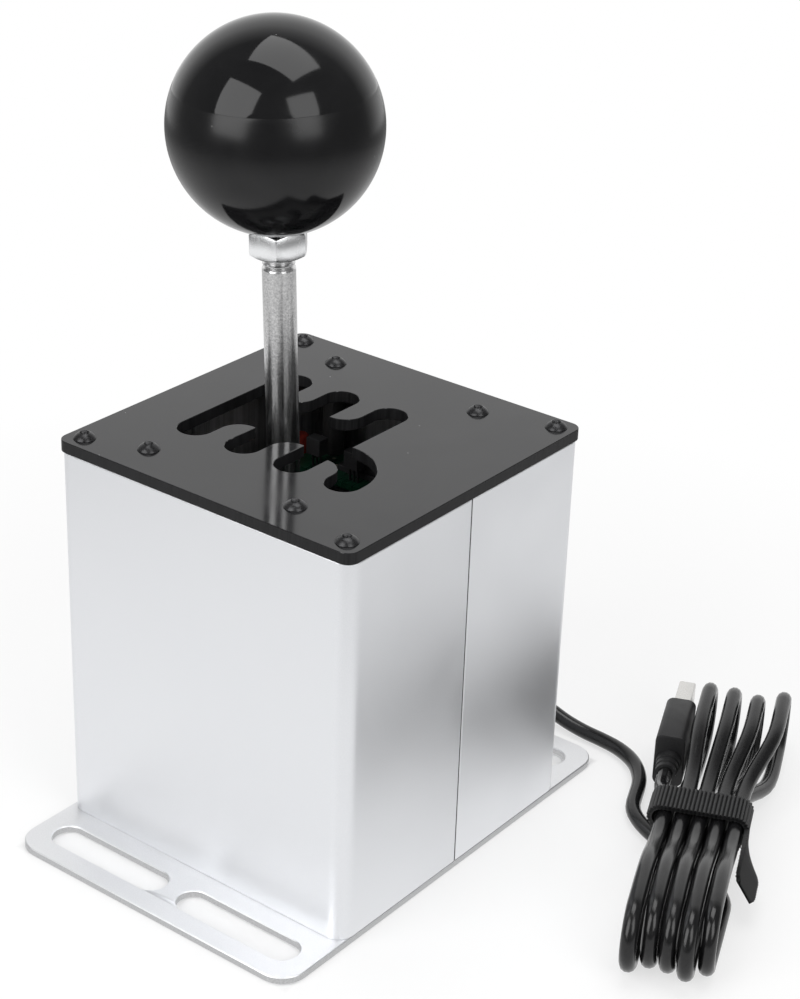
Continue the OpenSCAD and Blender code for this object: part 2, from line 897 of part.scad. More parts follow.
// Hexagon nut with chamfered corners, an edge towards the driver's right rear
module jam_nut() {
    across_corners = nut_af / cos(30);
    chamfer_h = 0.9;
    color("whitesmoke")
        on_lever()
            translate([0, 0, nut_at])
                rotate(-53)
                    difference() {
                        intersection() {
                            cylinder(d = across_corners, h = nut_h, $fn = 6);
                            union() {
                                cylinder(d1 = nut_af - 0.4, d2 = across_corners + 0.4, h = chamfer_h);
                                translate([0, 0, chamfer_h - eps])
                                    cylinder(d = across_corners + 0.4, h = nut_h - 2 * chamfer_h + 2 * eps);
                                translate([0, 0, nut_h - chamfer_h])
                                    cylinder(d1 = across_corners + 0.4, d2 = nut_af - 0.4, h = chamfer_h);
                            }
                        }
                        translate([0, 0, -eps])
                            cylinder(r = rod_r + fit, h = nut_h + 2 * eps);
                    }
}

// Threaded metal insert moulded into the knob, level with the knob's flat
module knob_insert() {
    color("goldenrod")
        on_lever()
            translate([0, 0, flat_at])
                difference() {
                    cylinder(d = insert_d, h = insert_l);
                    translate([0, 0, -eps])
                        cylinder(r = rod_r + fit, h = rod_top - flat_at + fit);
                }
}

// Ball with a flat underneath that stands on the nut
module ball_knob() {
    color([0.06, 0.06, 0.07])
        on_lever()
            difference() {
                translate([0, 0, knob_at])
                    sphere(d = knob_d, $fn = 96);
                translate([0, 0, flat_at - knob_d])
                    cylinder(d = knob_d, h = knob_d);
                translate([0, 0, flat_at - eps])
                    cylinder(d = insert_d + 2 * fit, h = insert_l + fit + eps);
            }
}

// Tapered strain relief in the far wall
module lead_boot() {
    flange_r = boot_neck_r + 1.8;
    color([0.08, 0.08, 0.08])
        translate([outlet_x, 0, outlet_z])
            rotate([-90, 0, 0]) {
                translate([0, 0, wall_in - 2])
                    cylinder(r = flange_r, h = 2);
                translate([0, 0, wall_in - eps])
                    cylinder(r = boot_neck_r, h = box_wall + 2 * eps);
                translate([0, 0, half])
                    cylinder(r = flange_r, h = 1.5);
                translate([0, 0, half + 1.5 - eps])
                    cylinder(r1 = boot_neck_r, r2 = cable_r + 0.8, h = boot_len - 1.5 + eps);
            }
}

module inner_lead() {
    color([0.1, 0.1, 0.1])
        tube(inner_route, inner_r, 8, [1, 0, 0]);
}

module usb_lead() {
    color([0.1, 0.1, 0.1])
        tube(lead_route, cable_r, 10, [0, 0, 1]);
}

module in_hank() {
    translate(hank_mid)
        rotate(hank_turn)
            children();
}

// Least distance between strands of the hank, less the cable's diameter
module print_least_gap() {
    p = hank_path(40, 14);
    skip = 10;
    gap = min([for (i = [0 : len(p) - 1 - skip])
        min([for (j = [i + skip : len(p) - 1]) norm(p[i] - p[j])])]) - cable_d;
    length = [for (i = [0 : len(p) - 2]) norm(p[i + 1] - p[i])] * [for (i = [0 : len(p) - 2]) 1];
    echo(least_gap = gap, hank_length = length);
}

module lead_hank() {
    print_least_gap();
    color([0.12, 0.12, 0.12])
        in_hank()
            tube(hank_path(8, 4), cable_r, 6, [0, 1, 0]);
}

// Strap round the hank's waist, with its loose end along the right side
module strap_section(grow) {
    r = cable_r + 0.45 + grow;
    hull() {
        translate([near_y(0.35), low_z(0)])
            circle(r, $fn = 32);
        translate([near_y(hank_loops - 0.35), low_z(0)])
            circle(r, $fn = 32);
        translate([near_y(0), tail_z])
            circle(r, $fn = 32);
        translate([tail_at(tie_w / 2), tail_z])
            circle(r, $fn = 32);
    }
}

module hank_tie() {
    loose_y = near_y(0) - cable_r - 0.5 - tie_t;
    color([0.07, 0.07, 0.07])
        in_hank() {
            rotate([90, 0, 90])
                linear_extrude(tie_w, center = true)
                    difference() {
                        strap_section(tie_t);
                        strap_section(0);
                    }
            translate([-tie_w / 2 - 22, loose_y, low_z(0) - cable_r])
                cube([23, tie_t, waist_layer + 3]);
        }
}

// Plug standing on its edge beside the hank: body with its taper, and metal shell
module on_plug() {
    in_hank()
        translate([plug_s, tail_y, plug_z])
            rotate([0, 90, 0])
                children();
}

module plug_body() {
    color([0.16, 0.16, 0.17])
        on_plug() {
            cylinder(r1 = cable_r + 0.7, r2 = cable_r + 1.4, h = plug_boot_len + eps);
            translate([0, 0, plug_boot_len])
                linear_extrude(plug_body_size[0])
                    rounded(plug_body_size[2], plug_body_size[1], 2);
        }
}

module plug_shell() {
    color("silver")
        on_plug()
            translate([0, 0, plug_boot_len + plug_body_size[0]])
                difference() {
                    linear_extrude(plug_shell_size[0])
                        rounded(plug_shell_size[2], plug_shell_size[1], 0.5);
                    translate([0, 0.9, 3])
                        linear_extrude(plug_shell_size[0])
                            square([plug_shell_size[2] - 0.8, 1.9], center = true);
                }
}

base_plate();
base_screws();
near_shell();
far_shell();
gate_plate();
corner_screws();
frame_screws();
board_standoffs();
sensor_board();
board_screws();
hall_sensors();
controller_module();
red_capacitors();
orange_capacitors();
lead_header();
pivot_bracket();
bracket_screws();
select_pins();
ring_washers();
left_spring();
right_spring();
gimbal_ring();
shift_pin();
hub_washers();
lever_hub();
hub_grub_screw();
lever_rod();
magnet_collar();
ring_magnet();
jam_nut();
knob_insert();
ball_knob();
lead_boot();
inner_lead();
usb_lead();
lead_hank();
hank_tie();
plug_body();
plug_shell();
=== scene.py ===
# Gear shifter with an H-pattern gate: finishes, soft pieces, studio and camera
import json
import math

import bmesh
import bpy
from mathutils import Matrix, Vector


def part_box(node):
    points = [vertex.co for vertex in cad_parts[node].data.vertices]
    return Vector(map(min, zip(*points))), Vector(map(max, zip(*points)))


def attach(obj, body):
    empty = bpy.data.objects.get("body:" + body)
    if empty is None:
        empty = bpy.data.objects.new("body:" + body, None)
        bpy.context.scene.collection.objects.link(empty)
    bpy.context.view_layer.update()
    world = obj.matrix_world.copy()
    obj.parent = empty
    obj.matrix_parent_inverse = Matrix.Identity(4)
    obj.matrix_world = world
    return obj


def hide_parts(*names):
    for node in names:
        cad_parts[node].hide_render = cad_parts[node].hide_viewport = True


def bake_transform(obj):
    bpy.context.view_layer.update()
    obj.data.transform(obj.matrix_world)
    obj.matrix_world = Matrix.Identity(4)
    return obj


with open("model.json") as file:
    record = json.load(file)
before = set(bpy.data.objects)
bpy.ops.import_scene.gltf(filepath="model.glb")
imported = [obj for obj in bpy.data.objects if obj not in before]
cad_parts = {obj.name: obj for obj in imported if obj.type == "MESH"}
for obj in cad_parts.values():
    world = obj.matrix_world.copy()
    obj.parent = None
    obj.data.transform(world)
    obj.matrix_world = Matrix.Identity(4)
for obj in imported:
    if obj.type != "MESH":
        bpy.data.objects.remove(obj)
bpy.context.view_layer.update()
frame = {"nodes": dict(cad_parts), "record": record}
nodes = frame["nodes"]
scene = bpy.context.scene
scene.view_settings.view_transform = "Standard"
MM = 0.001

# Camera: its place in metres, its angles in degrees and its lens
CAMERA_AT = (0.32096, -0.39174, 0.34064)
CAMERA_ROUND, CAMERA_RISE, CAMERA_ROLL = 37.162, 26.932, 2.0046
SENSOR_W = 36.0
FOCAL = 83.6
SHIFT_UP = 0.019

# Meshes: points nearer than this are one, in millimetres
SAME_POINT = 0.002

# Housing and base plate, in millimetres; a shell's faces within BOX_INSIDE lie inside the housing
BOX_HALF = 45.0
BOX_INSIDE = 43.5
BASE_HALF_X, BASE_HALF_Y = 45.0, 65.0
BASE_TOP = 2.0

# Painted shade in the joint between the shells: where it fades out, across the joint and towards
# its bright lips
JOINT_SHADE_HALF = (0.4, 0.52)
JOINT_SHADE_DEEP = (0.28, 0.16)

# Chamfers on the solids that are shown with their edges broken, in millimetres, and their bodies
EDGE_BREAKS = {
    "base_plate": (0.25, "housing"), "near_shell": (0.15, "housing"),
    "far_shell": (0.15, "housing"), "gate_plate": (0.13, "housing"),
    "corner_screws": (0.12, "housing"), "frame_screws": (0.12, "housing"),
    "jam_nut": (0.14, "lever"), "pivot_bracket": (0.35, "housing"),
    "gimbal_ring": (0.3, "yoke"), "board_standoffs": (0.15, "housing"),
    "controller_module": (0.12, "housing"), "hall_sensors": (0.08, "housing"),
    "lead_header": (0.2, "housing"),
}

# Lever: its pivot, its lean at rest and the stations along it, in millimetres
PIVOT = Vector((-9.4, 0.0, 18.0))
LEAN = 2.6026
ROD_FOOT = 4.55
ROD_TOP = 153.79
ROD_R = 4.0
THREAD_R, ROOT_R, THREAD_PITCH = 3.86, 3.3, 1.25
NUT_AT = 133.29
FLAT_AT = 139.79
FLAT_R = 6.3
INSERT_R = 6.05
INSERT_L = 16.05
BALL_AT = 163.98
BALL_R = 25.0

# The ball's parting line lies on a ring of its mesh, this many degrees above its middle
LINE_UP = 22.5
BALL_LINE = BALL_R * math.sin(math.radians(LINE_UP))
LINE_W, LINE_DEPTH = 0.06, 0.02

# Centring springs: wire, turns, steps per turn and the heights they fill
SPRING_WIRE_R = 0.4
SPRING_TURNS = 4
SPRING_STEPS = 28
SPRING_FOOT = 6.05
SPRING_TOP = 12.95

# Cable and hank, in millimetres; s runs along the hank, y to its left
CABLE_R = 2.0
INNER_R = 1.7
BOOT_END = (8.0, 52.0, 10.0)
HANK_MID = (88.4, 45.0)
HANK_TURN = 113.6
LOOPS = 4
RUN = 92.0
FOLD = 8.0
STRAND = 4.5
NEAR_MID = 2.0
FAR_MID = 2.2
FAR_PITCH = 6.6
WAIST_LAYER = 4.1
WAIST_LIFT = 6.2
WAIST_LEN = 26.0
LEAD_Y = 19.0
LEAD_END, HANK_START = 23.0, 19.0
CROSS_FROM, CROSS_TO = 15.0, -25.0
FIRST_BOW = 0.8
LOOP_STAGGER = 2.0
TAIL_Y = 12.2
TAIL_FROM, TAIL_TO = 0.0, 17.0
DROP_FROM = 3.0

# Strap: thickness, width, how far its lower corners stand in, its slack, its ribs and its free end
TIE_T = 1.2
TIE_W = 10.0
TIE_INSET = 0.35
TIE_SLACK = 0.45
TIE_CUTS = 8
CORNER_STEPS = 24
RIB_PITCH = 1.05
RIB_STEPS = 6
RIB_DEPTH, END_RIB_DEPTH = 0.5, 0.42
END_L = 23.0
END_PAST = 22.0
END_H = WAIST_LAYER + 3
END_LEAN = 0.62
END_ROUND = 0.16
END_CUTS = 131

# Plug: its start and height, its moulding, its metal shell with windows, and the contact bar in it
PLUG_S = 22.0
PLUG_Z = 8.05
PLUG_BOOT = 6.0
PLUG_BODY = (20.0, 8.0, 15.5)
PLUG_SHELL = (12.0, 4.5, 12.0)
SHELL_WALL = 0.35
SHELL_DEEP = 8.5
WINDOW_ALONG = (5.0, 7.4)
WINDOW_ACROSS = (1.5, 3.9)
CONTACT_BAR = (9.4, 1.5, 10.8)
BAR_AT, BAR_LOW = 7.0, 0.95

# Floor in metres: its size, its drop below the base, and its glow by the distance from its middle
FLOOR_R = 0.8
FLOOR_DROP = 0.0003
SEEN_GLOW = (0.08, 0.26, 0.62, 1.0)
MIRRORED_GLOW = (0.26, 0.6, 0.88, 0.22)
MIRRORED_SHARE = 0.92

# Room: the way to the bright backdrop and its glow by how far a direction agrees with that
BACKDROP_WAY = (-0.6, 0.8, 0.0)
ROOM_GLOW = (0.4, 0.75, 0.22, 1.0)

# Soft boxes, in metres: the way to each from the lit point, width, height, radiance and turn
LIT_POINT = (-0.005, 0.0, 0.11)
SOFT_BOX_AWAY = 0.75
SOFT_BOXES = (
    ("soft_box_above", (0.06, 0.09, 0.99), 0.62, 0.455, 3.2, 40),
    ("soft_box_front", (-0.1281, -0.8543, 0.5037), 0.505, 0.675, 3.35, 0),
    ("soft_box_right", (0.8359, -0.2434, 0.4919), 0.38, 0.54, 3.0, 0),
)


# Camera at the photograph's place and angle
def set_camera():
    az, el, roll = (math.radians(a) for a in (CAMERA_ROUND, CAMERA_RISE, CAMERA_ROLL))
    back = Vector((math.sin(az) * math.cos(el), -math.cos(az) * math.cos(el), math.sin(el)))
    right = Vector((math.cos(az), math.sin(az), 0.0))
    up = back.cross(right)
    right, up = (right * math.cos(roll) + up * math.sin(roll),
                 up * math.cos(roll) - right * math.sin(roll))
    lens = bpy.data.cameras.new("camera")
    lens.sensor_width = SENSOR_W
    lens.lens = FOCAL
    lens.shift_y = SHIFT_UP
    lens.clip_start = 0.01
    camera = bpy.data.objects.new("camera", lens)
    scene.collection.objects.link(camera)
    turn = Matrix((right, up, back)).transposed().to_4x4()
    camera.matrix_world = Matrix.Translation(CAMERA_AT) @ turn
    scene.camera = camera


# Selecting and shaping
def nothing_selected():
    if bpy.context.object and bpy.context.object.mode != "OBJECT":
        bpy.ops.object.mode_set(mode="OBJECT")
    bpy.ops.object.select_all(action="DESELECT")


def take(piece):
    nothing_selected()
    bpy.context.view_layer.objects.active = piece
    piece.select_set(True)


def named(name):
    piece = bpy.context.object
    piece.name = name
    piece.data.name = name
    return piece


def open_mesh(piece, mode="FACE"):
    take(piece)
    bpy.ops.object.mode_set(mode="EDIT")
    bpy.ops.mesh.select_mode(type=mode)
    bpy.ops.mesh.select_all(action="SELECT")


def close_mesh():
    bpy.ops.object.mode_set(mode="OBJECT")


def pick_faces(piece, wanted):
    bpy.ops.mesh.select_mode(type="FACE")
    bpy.ops.mesh.select_all(action="DESELECT")
    mesh = bmesh.from_edit_mesh(piece.data)
    for face in mesh.faces:
        face.select_set(wanted(face.calc_center_median() / MM, face.normal))
    bmesh.update_edit_mesh(piece.data)


def pick_edges(piece, wanted):
    bpy.ops.mesh.select_mode(type="EDGE")
    bpy.ops.mesh.select_all(action="DESELECT")
    mesh = bmesh.from_edit_mesh(piece.data)
    for edge in mesh.edges:
        edge.select_set(wanted(edge.verts[0].co / MM, edge.verts[1].co / MM))
    bmesh.update_edit_mesh(piece.data)


def apply_place(piece, location=(0, 0, 0), rotation=(0, 0, 0)):
    take(piece)
    piece.location = [v * MM for v in location]
    piece.rotation_euler = [math.radians(a) for a in rotation]
    bpy.ops.object.transform_apply(location=True, rotation=True, scale=True)


def outward(piece):
    open_mesh(piece)
    bpy.ops.mesh.remove_doubles(threshold=SAME_POINT * MM)
    bpy.ops.mesh.normals_make_consistent(inside=False)
    close_mesh()


def smooth(piece, angle=32):
    take(piece)
    bpy.ops.object.shade_smooth_by_angle(angle=math.radians(angle))


def bevel_edges(piece, width, segments=2, angle=40):
    take(piece)
    rounding = piece.modifiers.new("edge_round", "BEVEL")
    rounding.width = width * MM
    rounding.segments = segments
    rounding.limit_method = "ANGLE"
    rounding.angle_limit = math.radians(angle)
    rounding.use_clamp_overlap = False
    rounding.loop_slide = False
    bpy.ops.object.modifier_apply(modifier=rounding.name)


def thicken(piece, thickness, offset):
    take(piece)
    wall = piece.modifiers.new("strap_wall", "SOLIDIFY")
    wall.thickness = thickness * MM
    wall.offset = offset
    bpy.ops.object.modifier_apply(modifier=wall.name)


# A block to start from, at its size and place
def block(name, size, centre):
    nothing_selected()
    bpy.ops.mesh.primitive_cube_add(size=1)
    piece = named(name)
    piece.scale = [v * MM for v in size]
    apply_place(piece, centre)
    return piece


# A turned piece: a disc drawn up through steps of radius and height
def turned(name, steps, sides=64):
    nothing_selected()
    r, z = steps[0]
    bpy.ops.mesh.primitive_circle_add(vertices=sides, radius=r * MM, fill_type="NGON",
                                      location=(0, 0, z * MM))
    piece = named(name)
    bpy.ops.object.transform_apply(location=True)
    open_mesh(piece)
    for r1, z1 in steps[1:]:
        bpy.ops.mesh.extrude_region_move(
            TRANSFORM_OT_translate={"value": (0, 0, (z1 - z) * MM)})
        bpy.ops.transform.resize(value=(r1 / r, r1 / r, 1), center_override=(0, 0, z1 * MM))
        r, z = r1, z1
    close_mesh()
    outward(piece)
    return piece


def stand_on_pivot(piece):
    apply_place(piece, PIVOT, (LEAN, 0, 0))


# Two pieces drawn along s made one and turned into the hank
def into_hank(piece, other, angle=32):
    take(piece)
    other.select_set(True)
    bpy.ops.object.join()
    outward(piece)
    apply_place(piece, (HANK_MID[0], HANK_MID[1], 0), (0, 0, HANK_TURN))
    smooth(piece, angle)
    return piece


# A copy of a solid with its sharp edges broken by a small chamfer
def edge_broken(node, width):
    source = nodes[node]
    piece = source.copy()
    piece.data = source.data.copy()
    piece.name = node + "_finished"
    piece.data.name = piece.name
    for key in list(piece.keys()):
        del piece[key]
    piece.parent = None
    piece.matrix_world = Matrix.Identity(4)
    scene.collection.objects.link(piece)
    open_mesh(piece)
    bpy.ops.mesh.remove_doubles(threshold=SAME_POINT * MM)
    bpy.ops.mesh.dissolve_limited(angle_limit=math.radians(0.4))
    close_mesh()
    bevel_edges(piece, width, 1)
    smooth(piece)
    return piece


# A tube along points, made from a curve
def tube(name, points, radius, round_steps=4):
    nothing_selected()
    line = bpy.data.curves.new(name, "CURVE")
    line.dimensions = "3D"
    line.bevel_depth = radius * MM
    line.bevel_resolution = round_steps
    line.use_fill_caps = True
    spline = line.splines.new("POLY")
    spline.points.add(len(points) - 1)
    for place, p in zip(spline.points, points):
        place.co = (p[0] * MM, p[1] * MM, p[2] * MM, 1.0)
    piece = bpy.data.objects.new(name, line)
    scene.collection.objects.link(piece)
    take(piece)
    bpy.ops.object.convert(target="MESH")
    piece = named(name)
    outward(piece)
    smooth(piece, 60)
    return piece


# The cable's route: free lead, then the hank
def hank_point(p):
    c, s = math.cos(math.radians(HANK_TURN)), math.sin(math.radians(HANK_TURN))
    return (HANK_MID[0] + p[0] * c - p[1] * s, HANK_MID[1] + p[0] * s + p[1] * c, p[2])


def mix(a, b, k):
    return a + (b - a) * k


def ease(k):
    return (1 - math.cos(math.pi * min(max(k, 0.0), 1.0))) / 2


def pinch(s):
    return math.exp(-((s / WAIST_LEN) ** 4))


def near_y(c):
    return (c - NEAR_MID) * STRAND


def column_y(c, s):
    return near_y(c) if s < 0 else mix((c - FAR_MID) * FAR_PITCH, near_y(c), pinch(s))


def low_z(s):
    return CABLE_R + WAIST_LIFT * pinch(s)


TAIL_Z = low_z(0) + WAIST_LAYER


def high_z(s):
    return mix(CABLE_R + 2 * FOLD, TAIL_Z, pinch(s))


def run_s(i, n):
    return RUN / 2 - RUN * i / n


def first_run(n):
    made = []
    for i in range(1, n):
        s = run_s(i, n)
        if s < CROSS_FROM - 1:
            bow = FIRST_BOW * math.sin(math.pi * (s / RUN + 0.5))
            k = ease((CROSS_FROM - s) / (CROSS_FROM - CROSS_TO))
            made.append((s, mix(LEAD_Y, near_y(0) - bow, k), CABLE_R))
    return made


def low_run(k, n):
    made = []
    for i in range(1, n):
        s = run_s(i, n)
        c = k - 0.5 - math.sin(math.pi * s / RUN) / 2
        made.append((s, column_y(c, s), low_z(s)))
    return made


def high_run(k, n):
    stations = [run_s(i, n) for i in range(n - 1, 0, -1)]
    return [(s, column_y(k, s), high_z(s)) for s in stations]


def reach(k, side):
    return RUN / 2 + LOOP_STAGGER * (1 + math.sin(math.radians(140 * k + 90 * side)))


def fold(k, side, n):
    made = []
    for i in range(n + 1):
        a = math.pi * i / n
        s = side * (reach(k, side) + FOLD * math.sin(a))
        made.append((s, column_y(k, s), CABLE_R + FOLD * (1 + side * math.cos(a))))
    return made


def tail_at(s):
    return mix(near_y(LOOPS), TAIL_Y, ease((s - TAIL_FROM) / (TAIL_TO - TAIL_FROM)))


def tail_height(s):
    if s < 0:
        return high_z(s)
    return mix(TAIL_Z, PLUG_Z, ease((s - DROP_FROM) / (PLUG_S - 2 * CABLE_R - DROP_FROM)))


def last_run(n):
    stations = [run_s(i, n) for i in range(n - 1, 0, -1)]
    return [(s, tail_at(s), tail_height(s)) for s in stations if s < PLUG_S - 2 * CABLE_R - 1]


def hank_route(n, m):
    made = [(HANK_START, LEAD_Y, CABLE_R), (CROSS_FROM, LEAD_Y, CABLE_R)]
    for k in range(LOOPS + 1):
        made += first_run(2 * n) if k == 0 else low_run(k, n)
        made += fold(k, -1, m)
        made += high_run(k, n) + fold(k, 1, m) if k < LOOPS else last_run(2 * n)
    made += [(PLUG_S - 2 * CABLE_R, TAIL_Y, PLUG_Z), (PLUG_S, TAIL_Y, PLUG_Z)]
    return [hank_point(p) for p in made]


# A smooth line through points, which heads in from the point before and out to the point after
def rounded_route(points, cuts, before, after):
    ends = [Vector(before)] + [Vector(p) for p in points] + [Vector(after)]
    made = []
    for i in range(1, len(ends) - 2):
        a, b, c, d = ends[i - 1:i + 3]
        for j in range(cuts):
            t = j / cuts
            made.append(tuple(0.5 * (2 * b + (c - a) * t + (2 * a - 5 * b + 4 * c - d) * t * t
                                     + (3 * b - a - 3 * c + d) * t ** 3)))
    return made


def cable_route():
    lead = [BOOT_END, (8, 56, 10), (9.2, 62, 9.6), (12.5, 67, 8.4), (17.5, 70.2, 6.6),
            (23.4, 71.4, 4.8), (29.5, 71.4, 3.1), (35.5, 71.4, 2.2), (41.5, 71.3, 2),
            (47, 70.6, 2), (52, 68.8, 2), (56.2, 66, 2), (59.6, 62.2, 2),
            hank_point((LEAD_END, LEAD_Y, 2)), hank_point((HANK_START, LEAD_Y, 2))]
    hank = hank_route(24, 12)
    return rounded_route(lead, 4, (8, 48, 10), hank[1]) + hank


# Strap round the hank's waist, with fine ribs across it
def strap_outline():
    centres = [Vector((near_y(TIE_INSET), low_z(0))),
               Vector((near_y(LOOPS - TIE_INSET), low_z(0))),
               Vector((tail_at(TIE_W / 2), TAIL_Z)), Vector((near_y(0), TAIL_Z))]
    r = CABLE_R + TIE_SLACK + TIE_T
    corner = []
    for i, c in enumerate(centres):
        before, after = centres[i - 1], centres[(i + 1) % 4]
        a0 = math.atan2(c.y - before.y, c.x - before.x) - math.pi / 2
        a1 = math.atan2(after.y - c.y, after.x - c.x) - math.pi / 2
        while a1 < a0:
            a1 += 2 * math.pi
        for j in range(CORNER_STEPS + 1):
            a = mix(a0, a1, j / CORNER_STEPS)
            corner.append((c + r * Vector((math.cos(a), math.sin(a))), a))
    lengths = [0.0]
    for here, there in zip(corner, corner[1:] + corner[:1]):
        lengths.append(lengths[-1] + (there[0] - here[0]).length)
    ribs = round(lengths[-1] / RIB_PITCH)
    count = ribs * RIB_STEPS
    made, i = [], 0
    for j in range(count):
        at = lengths[-1] * j / count
        while lengths[i + 1] < at:
            i += 1
        k = (at - lengths[i]) / max(lengths[i + 1] - lengths[i], 1e-9)
        (p, a), (q, b) = corner[i % len(corner)], corner[(i + 1) % len(corner)]
        while b < a - 1e-6:
            b += 2 * math.pi
        turn = mix(a, b, k)
        dip = RIB_DEPTH * (1 - abs(math.sin(math.pi * ribs * j / count)))
        made.append(p.lerp(q, k) - dip * Vector((math.cos(turn), math.sin(turn))))
    return made


def wrapped_strap():
    outline = strap_outline()
    nothing_selected()
    bpy.ops.mesh.primitive_circle_add(vertices=len(outline), fill_type="NOTHING")
    piece = named("hank_strap")
    for vertex, p in zip(piece.data.vertices, outline):
        vertex.co = (-TIE_W / 2 * MM, p.x * MM, p.y * MM)
    open_mesh(piece, "EDGE")
    for step in range(TIE_CUTS):
        bpy.ops.mesh.extrude_region_move(
            TRANSFORM_OT_translate={"value": (TIE_W / TIE_CUTS * MM, 0, 0)})
    bpy.ops.mesh.select_all(action="SELECT")
    bpy.ops.mesh.normals_make_consistent(inside=False)
    close_mesh()
    thicken(piece, TIE_T - 0.25, -1)
    return piece


# The strap's free end, which leans out from the loops and is rounded at its tip
def strap_end():
    y = near_y(0) - CABLE_R - 0.5 - TIE_T
    nothing_selected()
    bpy.ops.mesh.primitive_plane_add(size=1)
    piece = named("strap_end")
    open_mesh(piece)
    bpy.ops.mesh.subdivide(number_cuts=END_CUTS)
    close_mesh()
    for vertex in piece.data.vertices:
        u, v = vertex.co.x + 0.5, vertex.co.y + 0.5
        far = max(0.0, (END_ROUND - u) / END_ROUND)
        v = 0.5 + (v - 0.5) * math.sqrt(max(0.0, 1 - 0.55 * far * far))
        dip = END_RIB_DEPTH * (1 - abs(math.sin(math.pi * END_L * u / RIB_PITCH)))
        splay = END_LEAN * END_H * (1 - v) * ease(1.6 * (1 - u))
        vertex.co = ((-TIE_W / 2 - END_PAST + END_L * u) * MM, (y - splay + dip) * MM,
                     (low_z(0) - CABLE_R + END_H * v) * MM)
    open_mesh(piece)
    bpy.ops.mesh.normals_make_consistent(inside=False)
    close_mesh()
    thicken(piece, TIE_T - 0.2, -1 if piece.data.polygons[0].normal.y < 0 else 1)
    return piece


def hank_strap():
    return into_hank(wrapped_strap(), strap_end(), 50)


# Plug at the cable's far end
def plug_moulding():
    body = block("plug_moulding", PLUG_BODY,
                 (PLUG_S + PLUG_BOOT + PLUG_BODY[0] / 2, TAIL_Y, PLUG_Z))
    open_mesh(body)
    pick_edges(body, lambda a, b: abs(a.x - b.x) > PLUG_BODY[0] / 2)
    bpy.ops.mesh.bevel(offset=2 * MM, segments=5, affect="EDGES")
    pick_faces(body, lambda c, n: abs(n.y) > 0.99)
    bpy.ops.mesh.inset(thickness=1.6 * MM, depth=0)
    bpy.ops.mesh.inset(thickness=0.5 * MM, depth=-0.45 * MM)
    pick_faces(body, lambda c, n: abs(n.x) > 0.99)
    bpy.ops.mesh.inset(thickness=0.7 * MM, depth=0.0)
    close_mesh()
    bevel_edges(body, 0.35, 2, 50)
    steps = [(2.25, 0), (2.7, 0.1), (2.8, 1.3), (2.45, 1.5), (2.45, 1.9), (2.95, 2.1),
             (3.05, 3.3), (2.6, 3.5), (2.6, 3.9), (3.2, 4.1), (3.4, 6.2)]
    sleeve = turned("plug_boot", steps, 32)
    apply_place(sleeve, (PLUG_S, TAIL_Y, PLUG_Z), (0, 90, 0))
    return into_hank(body, sleeve)


def plug_tongue():
    s0 = PLUG_S + PLUG_BOOT + PLUG_BODY[0]
    shell = block("plug_tongue", PLUG_SHELL, (s0 + PLUG_SHELL[0] / 2, TAIL_Y, PLUG_Z))
    open_mesh(shell)
    pick_edges(shell, lambda a, b: abs(a.x - b.x) > PLUG_SHELL[0] / 2)
    bpy.ops.mesh.bevel(offset=0.5 * MM, segments=3, affect="EDGES")
    cuts = [((s0 + s, 0, 0), (1, 0, 0)) for s in WINDOW_ALONG]
    cuts += [((0, 0, PLUG_Z + z), (0, 0, 1)) for side in WINDOW_ACROSS for z in (side, -side)]
    for place, normal in cuts:
        bpy.ops.mesh.select_all(action="SELECT")
        bpy.ops.mesh.bisect(plane_co=[v * MM for v in place], plane_no=normal)
    pick_faces(shell, lambda c, n: abs(n.y) > 0.9
               and WINDOW_ALONG[0] < c.x - s0 < WINDOW_ALONG[1]
               and WINDOW_ACROSS[0] < abs(c.z - PLUG_Z) < WINDOW_ACROSS[1])
    bpy.ops.mesh.extrude_region_shrink_fatten(
        TRANSFORM_OT_shrink_fatten={"value": -SHELL_WALL * MM})
    pick_faces(shell, lambda c, n: n.x > 0.99)
    bpy.ops.mesh.inset(thickness=SHELL_WALL * MM, depth=0)
    bpy.ops.mesh.extrude_region_move(
        TRANSFORM_OT_translate={"value": (-SHELL_DEEP * MM, 0, 0)})
    close_mesh()
    bar = block("plug_contact_bar", CONTACT_BAR, (s0 + BAR_AT, TAIL_Y - BAR_LOW, PLUG_Z))
    bevel_edges(bar, 0.2, 2)
    return into_hank(shell, bar)


# Ball with its flat, its pocket for the insert and a fine parting line above its middle
def ball():
    def on_line(a, b, within):
        return max(abs(a.z - BALL_LINE), abs(b.z - BALL_LINE)) < within

    nothing_selected()
    bpy.ops.mesh.primitive_uv_sphere_add(segments=128, ring_count=72, radius=BALL_R * MM)
    piece = named("gear_ball")
    flat = FLAT_AT - BALL_AT
    open_mesh(piece)
    bpy.ops.mesh.bisect(plane_co=(0, 0, flat * MM), plane_no=(0, 0, 1),
                        clear_inner=True, use_fill=True)
    pick_faces(piece, lambda c, n: n.z < -0.99 and c.z < flat + 0.01)
    bpy.ops.mesh.inset(thickness=(FLAT_R - INSERT_R) * MM, depth=0)
    bpy.ops.mesh.extrude_region_move(TRANSFORM_OT_translate={"value": (0, 0, INSERT_L * MM)})
    pick_edges(piece, lambda a, b: on_line(a, b, 0.01))
    bpy.ops.mesh.bevel(offset=LINE_W * MM, segments=2, affect="EDGES")
    pick_edges(piece, lambda a, b: on_line(a, b, 0.02))
    slim = 1 - LINE_DEPTH / BALL_R
    bpy.ops.transform.resize(value=(slim, slim, 1), center_override=(0, 0, 0))
    close_mesh()
    outward(piece)
    apply_place(piece, (0, 0, BALL_AT))
    stand_on_pivot(piece)
    smooth(piece, 30)
    return piece


